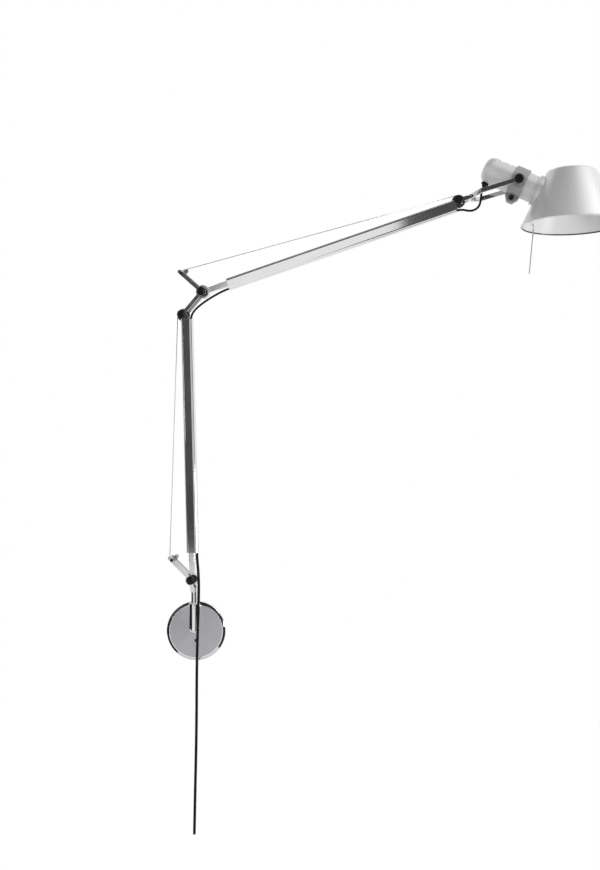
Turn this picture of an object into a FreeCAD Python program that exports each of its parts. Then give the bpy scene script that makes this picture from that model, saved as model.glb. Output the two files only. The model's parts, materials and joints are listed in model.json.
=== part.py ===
import FreeCAD, Part
import Sketcher
import math
import os
from FreeCAD import Placement, Rotation, Vector

# Articulating wall lamp: a wall rose with an elbowed bracket, a swivelling foot, two spring
# balanced arms joined by a V-shaped elbow, a forked head and a conical reflector.
# Millimetres. X runs to the right along the wall, Y into the wall, Z up.
# The origin is the centre of the wall plate's back face.

doc = FreeCAD.newDocument("wall_lamp")
sheet = doc.addObject("Spreadsheet::Sheet", "sizes")

SIZES = {
    # wall rose
    "rose_radius": 54,
    "rose_face_radius": 48.7,
    "rose_depth": 14,
    "rose_bevel": 3,
    "rose_wall": 2,
    "wall_plate_radius": 50,
    "wall_plate_thickness": 3,
    "wall_hole_radius": 2.75,
    "wall_hole_spacing": 72,
    "stud_radius": 4,
    "stud_length": 24,
    "rose_screw_drop": 17,
    "rose_screw_radius": 1.5,
    "rose_screw_head": 2.6,
    # bracket and swivel
    "bracket_radius": 10,
    "bracket_round": 8,
    "bracket_post_height": 13,
    "bracket_top": 55,
    "swivel_standoff": 40,
    "bracket_post_radius": 6,
    "stem_radius": 6,
    "stem_bottom": 26,
    "bush_wall": 1.2,
    "bush_flange_radius": 8.8,
    "bush_flange": 1.4,
    # pose of the photographed lamp
    "swing_angle": 9,
    "lower_arm_angle": 92,
    "elbow_angle": 48.3,
    "upper_arm_angle": 17.9,
    "head_link_angle": 14.9,
    "head_angle": 25.5,
    # pivots and links
    "foot_pivot_side": 3.4,
    "foot_pivot_height": 98.3,
    "arm_length": 476,
    "elbow_length": 54.4,
    "lever_length": 50,
    "lever_overrun": 5,
    "foot_lever_angle": 136,
    "elbow_lever_angle": 138.5,
    "link_width": 7,
    "link_thickness": 3,
    "link_inner": 7.8,
    "axle_radius": 3,
    "axle_eye": 6,
    "knob_radius": 7.7,
    "knob_depth": 9,
    "nut_radius": 6.5,
    "nut_depth": 4,
    "running_gap": 0.05,
    "side_gap": 0.3,
    "crosshead_height": 9,
    # lever pins and wire spools
    "lever_pin_radius": 2.5,
    "lever_cap_radius": 2.9,
    "lever_cap_depth": 1.6,
    "anchor_radius": 2.2,
    "lug_reach": 8,
    "lug_radius": 3.8,
    "lug_thickness": 5,
    # arms
    "tube_height": 22,
    "tube_depth": 15,
    "tube_wall": 1.2,
    "tube_corner": 5,
    "tube_start": 48,
    "tube_end_gap": 8,
    "near_pivot_offset": 1.5,
    "far_pivot_offset": 6.3,
    "hub_radius": 12,
    "hub_width": 12,
    "shank_width": 9.5,
    "shank_depth": 8,
    "sleeve_length": 17,
    "sleeve_extra": 1.2,
    "plug_length": 22,
    "cheek_inner": 3.6,
    "cheek_thickness": 2.2,
    "cheek_radius": 7.7,
    "pulley_radius": 11.4,
    "pulley_groove": 10.4,
    "pulley_width": 6,
    "wire_radius": 0.7,
    "spring_radius": 4.8,
    "spring_length": 210,
    "spring_offset": 3,
    # cables
    "cable_radius": 1.9,
    "cable_offset": 7.6,
    "cord_radius": 2.5,
    # head link, swivel and fork
    "head_pivot_reach": 104,
    "head_link_reach": 16,
    "head_link_web": 5,
    "spigot_radius": 4,
    "swivel_ring_radius": 7,
    "swivel_ring_depth": 2.2,
    "fork_inner": 29.6,
    "fork_strip": 3,
    "fork_width": 8,
    "fork_base_half": 17,
    "fork_slant": 15,
    "fork_eye": 6,
    "tilt_boss_radius": 11,
    # head
    "head_pivot_back": 36,
    "head_pivot_below": 2,
    "housing_radius": 23,
    "housing_length": 100,
    "housing_wall": 1.6,
    "housing_rear_round": 14,
    "collar_radius": 26.2,
    "collar_depth": 5,
    "collar_groove": 1,
    "clamp_width": 24,
    "clamp_wall": 3.2,
    "clamp_ear_drop": 37,
    "clamp_ear_depth": 14,
    "clamp_slit": 2,
    "clamp_screw_drop": 29.5,
    "clamp_screw_radius": 2.5,
    "clamp_screw_head": 4.2,
    "gland_from_rear": 13,
    "gland_radius": 6.5,
    "gland_length": 7,
    "gland_neck": 4,
    "vent_from_rear": 16,
    "vent_pitch": 6,
    "vent_pair_gap": 19,
    "vent_width": 2.6,
    "vent_floor": 17,
    "holder_radius": 20,
    "holder_bore": 13.4,
    "holder_bore_depth": 27,
    "holder_reach": 34,
    "holder_back": 30,
    "ring_nut_radius": 24,
    "ring_nut_depth": 4,
    # reflector
    "shade_radius": 85,
    "shade_height": 93.5,
    "shade_wall": 1.2,
    "shade_corner": 8,
    "shade_bead": 1.5,
    "seat_height": 61,
    "seat_rise": 0.1,
    "seat_radius": 26,
    "seat_depth": 7,
    # handle
    "handle_rod_radius": 1.1,
    "handle_rod_length": 84,
    "handle_lean": 5.2,
    "handle_hook_height": 7.2,
    "handle_hook_reach": 17.5,
    "handle_sleeve_radius": 2.8,
    "handle_sleeve_length": 4.5,
}
for row, (alias, size) in enumerate(SIZES.items(), 1):
    sheet.set(f"A{row}", alias.replace("_", " "))
    sheet.set(f"B{row}", str(size))
    sheet.setAlias(f"B{row}", alias)
doc.recompute()


def val(alias):
    return float(sheet.get(alias))


# ---------------------------------------------------------------- frames


def turn(x, z, angle):
    """The point (x, z) turned by an angle in degrees in the plane of the arms."""
    c, s = math.cos(math.radians(angle)), math.sin(math.radians(angle))
    return x * c - z * s, x * s + z * c


def step(start, reach, angle):
    dx, dz = turn(reach, 0, angle)
    return start[0] + dx, start[1] + dz


SWIVEL = Placement(Vector(0, -val("swivel_standoff"), 0), Rotation(Vector(0, 0, 1), -val("swing_angle")))
FOOT = (-val("foot_pivot_side"), val("foot_pivot_height"))
ELBOW_LOW = step(FOOT, val("arm_length"), val("lower_arm_angle"))
ELBOW_HIGH = step(ELBOW_LOW, val("elbow_length"), val("elbow_angle"))
HEAD_HINGE = step(ELBOW_HIGH, val("arm_length"), val("upper_arm_angle"))
TILT = step(HEAD_HINGE, val("head_pivot_reach"), val("head_link_angle"))
BACK = 180 - val("head_angle")
COLLAR = step(TILT, -val("head_pivot_back"), BACK)
COLLAR = step(COLLAR, val("head_pivot_below"), BACK - 90)


def frame(point, angle=0.0):
    """A frame in the arms' plane: X along the angle, Z in the plane, Y into the wall."""
    return SWIVEL * Placement(Vector(point[0], 0, point[1]), Rotation(Vector(0, 1, 0), -angle))


WALL = Placement()
FOOT_FRAME = frame(FOOT)
ELBOW_FRAME = frame(ELBOW_LOW, val("elbow_angle"))
LINK_FRAME = frame(HEAD_HINGE, val("head_link_angle"))
HEAD_FRAME = frame(COLLAR, -val("head_angle"))
TAN_SHADE = math.tan(math.radians(val("head_angle")))
SEAT_X = val("shade_radius") - val("seat_height") * TAN_SHADE + val("seat_rise")
RIM = (COLLAR[0] + SEAT_X, COLLAR[1] - val("seat_height"))
SHADE_FRAME = frame(RIM)

# ---------------------------------------------------------------- feature helpers


def new_body(label, place=WALL):
    body = doc.addObject("PartDesign::Body", label)
    body.Label = label
    body.Placement = place
    return body


def sketch(body, role, height=0.0, tilt=None):
    """A sketch on one of the body's own origin planes, raised by height along its normal."""
    made = body.newObject("Sketcher::SketchObject", body.Label + "_sketch")
    plane = [f for f in body.Origin.OriginFeatures if f.Role == role][0]
    made.AttachmentSupport = [(plane, "")]
    made.MapMode = "FlatFace"
    made.AttachmentOffset = tilt if tilt is not None else Placement(Vector(0, 0, height), Rotation())
    return made


def bind(made, constraint, formula):
    made.setExpression(f"Constraints[{constraint}]", formula)


def add_circle(made, x, y, formula):
    """A circle whose radius follows a formula of the sheet."""
    geo = made.addGeometry(Part.Circle(Vector(x, y, 0), Vector(0, 0, 1), number(formula)), False)
    bind(made, made.addConstraint(Sketcher.Constraint("Radius", geo, number(formula))), formula)


def number(formula):
    """The value of a formula such as sizes.tube_depth / 2."""
    names = {alias: val(alias) for alias in SIZES}
    total = 0.0
    for term in formula.replace("-", "+-").split("+"):
        if not term.strip():
            continue
        sign = -1.0 if term.strip().startswith("-") else 1.0
        product = 1.0
        parts = term.strip().lstrip("-").split("/")
        for place, group in enumerate(parts):
            for factor in group.split("*"):
                word = factor.strip().replace("sizes.", "")
                amount = names[word] if word in names else float(word)
                product = product * amount if place == 0 else product / amount
        total += sign * product
    return total


def add_loop(made, points):
    """Straight sides through the points, closed."""
    for start, end in zip(points, points[1:] + points[:1]):
        made.addGeometry(Part.LineSegment(Vector(*start, 0), Vector(*end, 0)), False)


def add_slot(made, start, end, radius):
    """Two half circles joined by straight sides."""
    along = Vector(end[0] - start[0], end[1] - start[1], 0).normalize()
    side = Vector(-along.y, along.x, 0) * radius
    first, last = Vector(*start, 0), Vector(*end, 0)
    back, front = first - along * radius, last + along * radius
    made.addGeometry(Part.LineSegment(first + side, last + side), False)
    made.addGeometry(Part.Arc(last + side, front, last - side), False)
    made.addGeometry(Part.LineSegment(last - side, first - side), False)
    made.addGeometry(Part.Arc(first - side, back, first + side), False)


def add_rounded(made, width, height, corner, middle=(0.0, 0.0)):
    """A rectangle with round corners about its middle."""
    a, b, c = width / 2, height / 2, corner
    k = c * (1 - math.sqrt(0.5))
    for sx, sy in ((1, 1), (-1, 1), (-1, -1), (1, -1)):
        p = Vector(middle[0] + sx * a, middle[1] + sy * (b - c), 0)
        q = Vector(middle[0] + sx * (a - k), middle[1] + sy * (b - k), 0)
        r = Vector(middle[0] + sx * (a - c), middle[1] + sy * b, 0)
        made.addGeometry(Part.Arc(p, q, r), False)
    for sy in (1, -1):
        y = middle[1] + sy * b
        ends = Vector(middle[0] - a + c, y, 0), Vector(middle[0] + a - c, y, 0)
        made.addGeometry(Part.LineSegment(*ends), False)
    for sx in (1, -1):
        x = middle[0] + sx * a
        ends = Vector(x, middle[1] - b + c, 0), Vector(x, middle[1] + b - c, 0)
        made.addGeometry(Part.LineSegment(*ends), False)


def chords(middle, radius, start, finish, count):
    """Points on an arc from one angle to another, in degrees."""
    return [
        step(middle, radius, start + (finish - start) * i / count)
        for i in range(count + 1)
    ]


def pad(body, profile, length):
    """A pad along the sketch's normal. length is a formula or a number."""
    made = body.newObject("PartDesign::Pad", body.Label + "_pad")
    made.Profile = profile
    set_length(made, length)
    return made


def pocket(body, profile, length):
    """A pocket against the sketch's normal."""
    made = body.newObject("PartDesign::Pocket", body.Label + "_pocket")
    made.Profile = profile
    set_length(made, length)
    return made


def set_length(made, length):
    if isinstance(length, str):
        made.Length = number(length)
        made.setExpression("Length", length)
    else:
        made.Length = length


def revolve(body, profile, axis, cut=False):
    kind = "PartDesign::Groove" if cut else "PartDesign::Revolution"
    made = body.newObject(kind, body.Label + "_turned")
    made.Profile = profile
    made.ReferenceAxis = (profile, [axis])
    made.Angle = 360
    return made


def disc(body, x, z, formula, low, high):
    """A round pad across the arms' plane, from y = low to y = high."""
    made = sketch(body, "XZ_Plane", -high)
    add_circle(made, x, z, formula)
    return pad(body, made, high - low)


def bore(body, x, z, formula, low, high):
    """A round hole across the arms' plane, from y = low to y = high."""
    made = sketch(body, "XZ_Plane", -low)
    add_circle(made, x, z, formula)
    return pocket(body, made, high - low)


def bar(body, start, end, radius, low, high):
    """A flat bar with round ends across the arms' plane."""
    made = sketch(body, "XZ_Plane", -high)
    add_slot(made, start, end, radius)
    return pad(body, made, high - low)


def turned(label, place, points, axis="V_Axis", role="XY_Plane"):
    """A turned piece from (radius, height) points about its frame's Y axis."""
    body = new_body(label, place)
    made = sketch(body, role)
    add_loop(made, points)
    revolve(body, made, axis)
    return body


def shape_node(label, shape, place=None):
    made = doc.addObject("Part::Feature", label)
    made.Label = label
    made.Shape = shape
    if place is not None:
        made.Placement = place
    return made


def routed(points, radii=None, tight=0.45):
    """Straight runs joined by tangent arcs through the points."""
    corners = [Vector(*p) for p in points]
    edges = []
    used = []
    start = corners[0]
    for i in range(1, len(corners) - 1):
        before, here, after = corners[i - 1], corners[i], corners[i + 1]
        a, b = (before - here), (after - here)
        half = (math.pi - a.getAngle(b)) / 2
        run = min(a.Length, b.Length)
        radius = radii[i] if radii and i in radii else tight * run / math.tan(half)
        reach = radius * math.tan(half)
        a.normalize()
        b.normalize()
        first, last = here + a * reach, here + b * reach
        middle = here + (a + b).normalize() * (radius / math.cos(half) - radius)
        edges.append(Part.LineSegment(start, first).toShape())
        edges.append(Part.Arc(first, middle, last).toShape())
        used.append(round(radius, 1))
        start = last
    edges.append(Part.LineSegment(start, corners[-1]).toShape())
    return Part.Wire(edges), used


def tube_along(points, radius, radii=None):
    """A round solid along routed points, with its own volume compared with section x length."""
    spine, used = routed(points, radii)
    start = Vector(*points[0])
    along = Vector(*points[1]) - start
    circle = Part.Wire(Part.Circle(start, along, radius).toShape())
    solid = spine.makePipeShell([circle], True, False, 0)
    ratio = solid.Volume / (math.pi * radius**2 * spine.Length)
    return solid, used, spine.Length, ratio


# ---------------------------------------------------------------- shared small pieces


def knob(label, place, low):
    """A domed hand knob whose inner face is at y = low."""
    r, d = val("knob_radius"), val("knob_depth")
    screw = val("axle_radius") + val("running_gap")
    return turned(
        label,
        place,
        [
            (0, low - d),
            (r - 2.2, low - d),
            (r, low - d + 2.4),
            (r, low - 1.2),
            (r - 1.2, low),
            (screw, low),
            (screw, low - 5),
            (0, low - 5),
        ],
    )


def axle(label, place, low, high):
    """A plain axle from y = low to y = high."""
    r = val("axle_radius")
    return turned(label, place, [(0, low), (r, low), (r, high), (0, high)])


def nut_shape(place, high):
    """A round nut on the axle's rear end."""
    inner = val("axle_radius") + val("running_gap")
    outer = val("nut_radius")
    ring = Part.makeCylinder(outer, val("nut_depth"), Vector(0, high, 0), Vector(0, 1, 0))
    hole = Part.makeCylinder(inner, val("nut_depth"), Vector(0, high, 0), Vector(0, 1, 0))
    ring = ring.cut(hole)
    ring.Placement = place
    return ring


PLATE_IN = val("link_inner")
PLATE_OUT = PLATE_IN + val("link_thickness")
KNOB_FACE = -PLATE_OUT - val("side_gap")
AXLE_LOW = KNOB_FACE - 4.6
NUT_FACE = PLATE_OUT + 0.1
AXLE_HIGH = NUT_FACE + val("nut_depth")

# ---------------------------------------------------------------- wall rose and bracket

plate = new_body("wall_plate")
face = sketch(plate, "XZ_Plane")
add_circle(face, 0, 0, "sizes.wall_plate_radius - sizes.rose_wall")
for side in (-1, 1):
    add_circle(face, side * val("wall_hole_spacing") / 2, 0, "sizes.wall_hole_radius")
pad(plate, face, "sizes.wall_plate_thickness")
boss = sketch(plate, "XZ_Plane", val("wall_plate_thickness"))
add_circle(boss, 0, val("bracket_post_height"), "sizes.stud_radius + 4")
pad(plate, boss, "sizes.rose_depth - sizes.rose_wall - sizes.wall_plate_thickness")
post = sketch(plate, "XZ_Plane", val("wall_plate_thickness"))
add_circle(post, 0, -val("rose_screw_drop"), "sizes.rose_screw_radius + 2.5")
pad(plate, post, "sizes.rose_depth - sizes.rose_wall - sizes.wall_plate_thickness")
tap = sketch(plate, "XZ_Plane", val("rose_depth"))
add_circle(tap, 0, -val("rose_screw_drop"), "sizes.rose_screw_radius + sizes.running_gap")
pocket(plate, tap, "sizes.rose_depth - sizes.wall_plate_thickness")
seat = sketch(plate, "XZ_Plane", val("rose_depth"))
add_circle(seat, 0, val("bracket_post_height"), "sizes.stud_radius + sizes.running_gap")
pocket(plate, seat, "sizes.rose_depth - sizes.wall_plate_thickness / 2")

rose = new_body("wall_rose")
section = sketch(rose, "XY_Plane")
R, D, W, F = val("rose_radius"), val("rose_depth"), val("rose_wall"), val("rose_face_radius")
B = val("rose_bevel")
add_loop(
    section,
    [
        (0, -D),
        (F, -D),
        (R, -D + B),
        (R, 0),
        (R - W, 0),
        (R - W, -D + B + W / 2),
        (F - 1, -D + W),
        (0, -D + W),
    ],
)
revolve(rose, section, "V_Axis")
opened = sketch(rose, "XZ_Plane", D)
add_circle(opened, 0, val("bracket_post_height"), "sizes.stud_radius + sizes.running_gap")
add_circle(opened, 0, -val("rose_screw_drop"), "sizes.rose_screw_radius + sizes.running_gap")
pocket(rose, opened, "sizes.rose_wall + 1")

stud = turned(
    "bracket_stud",
    Placement(Vector(0, 0, val("bracket_post_height")), Rotation()),
    [
        (0, -val("wall_plate_thickness") / 2 - val("stud_length")),
        (val("stud_radius"), -val("wall_plate_thickness") / 2 - val("stud_length")),
        (val("stud_radius"), -val("wall_plate_thickness") / 2 - 0.1),
        (0, -val("wall_plate_thickness") / 2 - 0.1),
    ],
)

screw = turned(
    "rose_screw",
    Placement(Vector(0, 0, -val("rose_screw_drop")), Rotation()),
    [
        (0, -D - 1.3),
        (val("rose_screw_head") - 0.7, -D - 1.3),
        (val("rose_screw_head"), -D - 0.6),
        (val("rose_screw_head"), -D),
        (val("rose_screw_radius"), -D),
        (val("rose_screw_radius"), -val("wall_plate_thickness") - 0.3),
        (0, -val("wall_plate_thickness") - 0.3),
    ],
)

top, out = val("bracket_top"), val("swivel_standoff")
height = val("bracket_post_height")
br, rounding = val("bracket_radius"), val("bracket_round")
bracket = new_body("bracket", Placement(Vector(0, -out, 0), Rotation()))
socket = sketch(bracket, "XZ_Plane")
floor = height - br - 1
inner_r = val("stem_radius") + val("bush_wall") + 2 * val("running_gap")
bottom = [(0, floor)] + chords((br - rounding, floor + rounding), rounding, -90, 0, 4)
mouth = [(br, top), (inner_r, top), (inner_r, val("stem_bottom") - 1), (0, val("stem_bottom") - 1)]
add_loop(socket, bottom + mouth)
revolve(bracket, socket, "V_Axis")
post_sketch = sketch(bracket, "XZ_Plane", D - out)
add_circle(post_sketch, 0, height, "sizes.bracket_post_radius")
pad(bracket, post_sketch, "sizes.swivel_standoff - sizes.rose_depth")
thread = sketch(bracket, "XZ_Plane", D - out)
add_circle(thread, 0, height, "sizes.stud_radius + sizes.running_gap")
thread_cut = pocket(bracket, thread, val("stud_length") - D + val("wall_plate_thickness") / 2 + 1)
thread_cut.Reversed = True

bush = new_body("swivel_bush", Placement(Vector(0, -out, 0), Rotation()))
wall = sketch(bush, "XZ_Plane")
bi = val("stem_radius") + val("running_gap")
bo = val("stem_radius") + val("bush_wall") + val("running_gap")
bf = val("bush_flange_radius")
add_loop(
    wall,
    [
        (bi, val("stem_bottom")),
        (bo, val("stem_bottom")),
        (bo, top),
        (bf, top),
        (bf, top + val("bush_flange")),
        (bi, top + val("bush_flange")),
    ],
)
revolve(bush, wall, "V_Axis")

# ---------------------------------------------------------------- foot


def lever_pin(label, place, x, z, angle):
    """The cap screw through both lever ends, with the lug and the pin that hold the wire's end."""
    pin, cap, reach = val("lever_pin_radius"), val("lever_cap_radius"), PLATE_OUT + 0.1
    wide = reach + val("lever_cap_depth")
    outline = [(0, -wide), (cap - 0.6, -wide), (cap, -wide + 0.6), (cap, -reach), (pin, -reach)]
    outline += [(pin, reach), (cap, reach), (cap, wide - 0.6), (cap - 0.6, wide), (0, wide)]
    body = turned(label, place * Placement(Vector(x, 0, z), Rotation()), outline)
    thick = val("lug_thickness")
    bar(body, (0, 0), step((0, 0), val("lug_reach"), angle - 90), val("lug_radius"), 1.6, 1.6 + thick)
    half = thick / 2
    anchor = step((0, 0), val("lever_overrun"), angle)
    bar(body, (0, 0), anchor, val("anchor_radius"), -half, -half + 1.5)
    bar(body, (0, 0), anchor, val("anchor_radius"), half - 1.5, half)
    disc(body, *anchor, "sizes.anchor_radius", -half, half)
    return body


lever = turn(val("lever_length"), 0, val("foot_lever_angle"))
lever_tip = turn(val("lever_length") + val("lever_overrun"), 0, val("foot_lever_angle"))
half = val("link_width") / 2
foot = new_body("foot_fork", FOOT_FRAME)
stem = sketch(foot, "XY_Plane", val("stem_bottom") - val("foot_pivot_height") + 0.3)
add_circle(stem, val("foot_pivot_side"), 0, "sizes.stem_radius")
head_top = -val("hub_radius") - 1.0
crown = head_top - val("crosshead_height")
pad(foot, stem, crown - (val("stem_bottom") - val("foot_pivot_height") + 0.3))
cross = sketch(foot, "XY_Plane", crown)
add_slot(cross, (val("foot_pivot_side"), -PLATE_OUT + 6), (val("foot_pivot_side"), PLATE_OUT - 6), 6)
pad(foot, cross, "sizes.crosshead_height")
for low, high in ((-PLATE_OUT, -PLATE_IN), (PLATE_IN, PLATE_OUT)):
    bar(foot, (val("foot_pivot_side") / 2, crown + half), (0, 0), half, low, high)
    bar(foot, (0, 0), lever_tip, half, low, high)
    disc(foot, 0, 0, "sizes.axle_eye", low, high)
bore(foot, 0, 0, "sizes.axle_radius + sizes.running_gap", -PLATE_OUT - 1, PLATE_OUT + 1)
bore(foot, *lever, "sizes.lever_pin_radius + sizes.running_gap", -PLATE_OUT - 1, PLATE_OUT + 1)

lever_pin("foot_lever_pin", FOOT_FRAME, *lever, val("foot_lever_angle"))
axle("foot_axle", FOOT_FRAME, AXLE_LOW, AXLE_HIGH)
shape_node("foot_nut", nut_shape(FOOT_FRAME, NUT_FACE))
knob("foot_knob", FOOT_FRAME, KNOB_FACE)

# ---------------------------------------------------------------- arms


def wire_line(pin, far):
    """The straight wire: the outer tangent from the anchor pin to the pulley's groove."""
    small = val("anchor_radius") + val("wire_radius") + val("running_gap")
    large = val("pulley_groove") + val("wire_radius") + val("running_gap")
    dx, dz = far[0] - pin[0], far[1] - pin[1]
    reach = math.hypot(dx, dz)
    lean = math.degrees(math.asin((large - small) / reach))
    angle = math.degrees(math.atan2(dz, dx)) + lean
    start = step(pin, small, angle + 90)
    end = step(far, large, angle + 90)
    return start, end, angle


def make_arm(name, near, angle, pin):
    """One spring balanced arm. Its frame has X along the tube and Z on the wire's side."""
    near_off, far_off = val("near_pivot_offset"), val("far_pivot_offset")
    slant = math.degrees(math.asin((far_off - near_off) / val("arm_length")))
    run = val("arm_length") * math.cos(math.radians(slant))
    place = frame(near, angle - slant) * Placement(Vector(0, 0, -near_off), Rotation())
    start, finish = val("tube_start"), run - val("tube_end_gap")
    height, depth, wall = val("tube_height"), val("tube_depth"), val("tube_wall")
    corner = val("tube_corner")
    inside_high, inside_deep = height - 2 * wall - 0.1, depth - 2 * wall - 0.1
    cable_z = -val("cable_offset")

    tube = new_body(f"{name}_tube", place)
    outline = sketch(tube, "YZ_Plane", start)
    add_rounded(outline, depth, height, corner)
    add_rounded(outline, depth - 2 * wall, height - 2 * wall, corner - wall)
    pad(tube, outline, finish - start)
    notch = sketch(tube, "XY_Plane", height)
    notch_half, notch_deep = val("pulley_width") / 2 + 0.5, val("pulley_radius") + 1 - val("tube_end_gap")
    add_loop(
        notch,
        [
            (finish - notch_deep, -notch_half),
            (finish + 1, -notch_half),
            (finish + 1, notch_half),
            (finish - notch_deep, notch_half),
        ],
    )
    pocket(tube, notch, height)

    end = new_body(f"{name}_near_end", place)
    hub_half, shank = val("hub_width") / 2, val("shank_width") / 2
    disc(end, 0, near_off, "sizes.hub_radius", -hub_half, hub_half)
    neck = sketch(end, "XZ_Plane", -val("shank_depth") / 2)
    under, over = near_off - shank, near_off + shank
    add_loop(neck, [(0, under), (start + 1, under), (start + 1, over), (0, over)])
    pad(end, neck, "sizes.shank_depth")
    sleeve = sketch(end, "YZ_Plane", start - val("sleeve_length"))
    extra = val("sleeve_extra")
    add_rounded(sleeve, val("shank_depth") + extra, 2 * shank + extra, 1.5, (0, near_off))
    pad(end, sleeve, "sizes.sleeve_length")
    plug = sketch(end, "YZ_Plane", start)
    add_rounded(plug, inside_deep, inside_high, corner - wall)
    pad(end, plug, "sizes.plug_length")
    bore(end, 0, near_off, "sizes.axle_radius + sizes.running_gap", -hub_half - 1, hub_half + 1)
    way = sketch(end, "YZ_Plane", start - 1)
    add_slot(way, (0, cable_z), (0, cable_z - height), val("cable_radius") + 0.2)
    passage = pocket(end, way, val("plug_length") + 2)
    passage.Reversed = True

    clevis = new_body(f"{name}_far_end", place)
    inner, thick = val("cheek_inner"), val("cheek_thickness")
    for low, high in ((-inner - thick, -inner), (inner, inner + thick)):
        disc(clevis, run, far_off, "sizes.cheek_radius", low, high)
        cheek = sketch(clevis, "XZ_Plane", -high)
        top_z = inside_high / 2 - corner + wall
        add_loop(
            cheek,
            [
                (finish - val("plug_length"), -top_z),
                (finish + 2, -top_z),
                (run, far_off - val("cheek_radius")),
                (run, far_off + val("cheek_radius")),
                (finish, top_z),
                (finish - val("plug_length"), top_z),
            ],
        )
        pad(clevis, cheek, thick)
    bridge = sketch(clevis, "YZ_Plane", finish - val("plug_length") - 6)
    add_rounded(bridge, inside_deep, inside_high, corner - wall)
    pad(clevis, bridge, 6)
    bore(clevis, run, far_off, "sizes.axle_radius + sizes.running_gap", -9, 9)
    slot = sketch(clevis, "YZ_Plane", finish - val("plug_length") - 7)
    add_slot(slot, (0, cable_z), (0, cable_z - height), val("cable_radius") + 0.2)
    add_slot(slot, (0, cable_z + val("cable_radius") + 1.6), (0, val("spring_offset") + 0.1), 1.1)
    opening = pocket(clevis, slot, 8)
    opening.Reversed = True

    pulley_r, groove, wide = val("pulley_radius"), val("pulley_groove"), val("pulley_width") / 2
    hole = val("axle_radius") + val("running_gap")
    turned(
        f"{name}_pulley",
        place * Placement(Vector(run, 0, far_off), Rotation()),
        [
            (hole, -wide),
            (pulley_r - 0.4, -wide),
            (pulley_r, -wide + 0.6),
            (groove, -0.9),
            (groove, 0.9),
            (pulley_r, wide - 0.6),
            (pulley_r - 0.4, wide),
            (hole, wide),
        ],
    )

    # The wire's straight outer run, then its turn round the pulley and its run to the spring.
    local = place.inverse()
    swing_pin = local.multVec(SWIVEL.multVec(Vector(pin[0], 0, pin[1])))
    far = (run, far_off)
    first, last, lean = wire_line((swing_pin.x, swing_pin.z), far)
    wire_r = val("wire_radius")
    span = Vector(last[0] - first[0], 0, last[1] - first[1])
    outer = Part.makeCylinder(wire_r, span.Length - 0.2, Vector(first[0], 0, first[1]), span)
    shape_node(f"{name}_wire", outer, place)

    large = groove + wire_r + val("running_gap")
    spring_end = finish - val("plug_length") - 30
    spring_z = val("spring_offset")
    away = math.hypot(run - spring_end, far_off - spring_z)
    toward = math.degrees(math.atan2(spring_z - far_off, spring_end - run))
    touch = toward + math.degrees(math.acos(large / away))
    leave = step(far, large, touch)
    touch = touch if touch < lean + 90 else touch - 360
    middle = step(far, large, (lean + 90 + touch) / 2)
    meets, leaves = Vector(last[0], 0, last[1]), Vector(leave[0], 0, leave[1])
    arc = Part.Arc(meets, Vector(middle[0], 0, middle[1]), leaves)
    line = Part.LineSegment(leaves, Vector(spring_end, 0, spring_z))
    spine = Part.Wire([arc.toShape(), line.toShape()])
    tangent = Vector(math.cos(math.radians(lean)), 0, math.sin(math.radians(lean)))
    across = Vector(-tangent.z, 0, tangent.x)
    corners = []
    for i in range(8):
        c, d = turn(wire_r, 0, i * 45)
        corners.append(meets + across * c + Vector(0, d, 0))
    inner_wire = spine.makePipeShell([Part.makePolygon(corners + corners[:1])], True, False, 0)
    shape_node(f"{name}_inner_wire", inner_wire, place)

    spring_len = val("spring_length")
    coil = new_body(f"{name}_spring", place * Placement(Vector(0, 0, spring_z), Rotation()))
    coil_sketch = sketch(coil, "XY_Plane")
    spring_r = val("spring_radius")
    low_x, high_x = spring_end - spring_len, spring_end - 0.1
    add_loop(
        coil_sketch,
        [
            (start + val("plug_length") + 0.1, 0),
            (high_x, 0),
            (high_x, 1.2),
            (high_x - 6, 1.2),
            (high_x - 9, spring_r),
            (low_x, spring_r),
            (low_x - 3, 1.2),
            (start + val("plug_length") + 0.1, 1.2),
        ],
    )
    revolve(coil, coil_sketch, "H_Axis")

    lead_start = start + 0.2
    lead_end = finish - 0.2
    lead = Part.makeCylinder(
        val("cable_radius"), lead_end - lead_start, Vector(lead_start, 0, cable_z), Vector(1, 0, 0)
    )
    shape_node(f"{name}_cable", lead, place)
    return place, start, finish, run


foot_pin = step(FOOT, val("lever_length") + val("lever_overrun"), val("foot_lever_angle"))
elbow_pin = step(ELBOW_HIGH, val("lever_length") + val("lever_overrun"), val("elbow_lever_angle"))
LOWER, low_start, low_finish, low_run = make_arm("lower_arm", FOOT, val("lower_arm_angle"), foot_pin)
UPPER, up_start, up_finish, up_run = make_arm("upper_arm", ELBOW_HIGH, val("upper_arm_angle"), elbow_pin)

# ---------------------------------------------------------------- elbow

lever_turn = val("elbow_lever_angle") - val("elbow_angle")
joint = (val("elbow_length"), 0)
elbow_lever = step(joint, val("lever_length"), lever_turn)
elbow_tip = step(joint, val("lever_length") + val("lever_overrun"), lever_turn)
for side, low, high in (("front", -PLATE_OUT, -PLATE_IN), ("rear", PLATE_IN, PLATE_OUT)):
    cheek = new_body(f"elbow_plate_{side}", ELBOW_FRAME)
    bar(cheek, (0, 0), joint, half, low, high)
    bar(cheek, joint, elbow_tip, half, low, high)
    for x in (0, joint[0]):
        disc(cheek, x, 0, "sizes.axle_eye", low, high)
    for x in (0, joint[0]):
        bore(cheek, x, 0, "sizes.axle_radius + sizes.running_gap", low - 1, high + 1)
    bore(cheek, *elbow_lever, "sizes.lever_pin_radius + sizes.running_gap", low - 1, high + 1)
lever_pin("elbow_lever_pin", ELBOW_FRAME, *elbow_lever, lever_turn)
nuts = []
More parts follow.
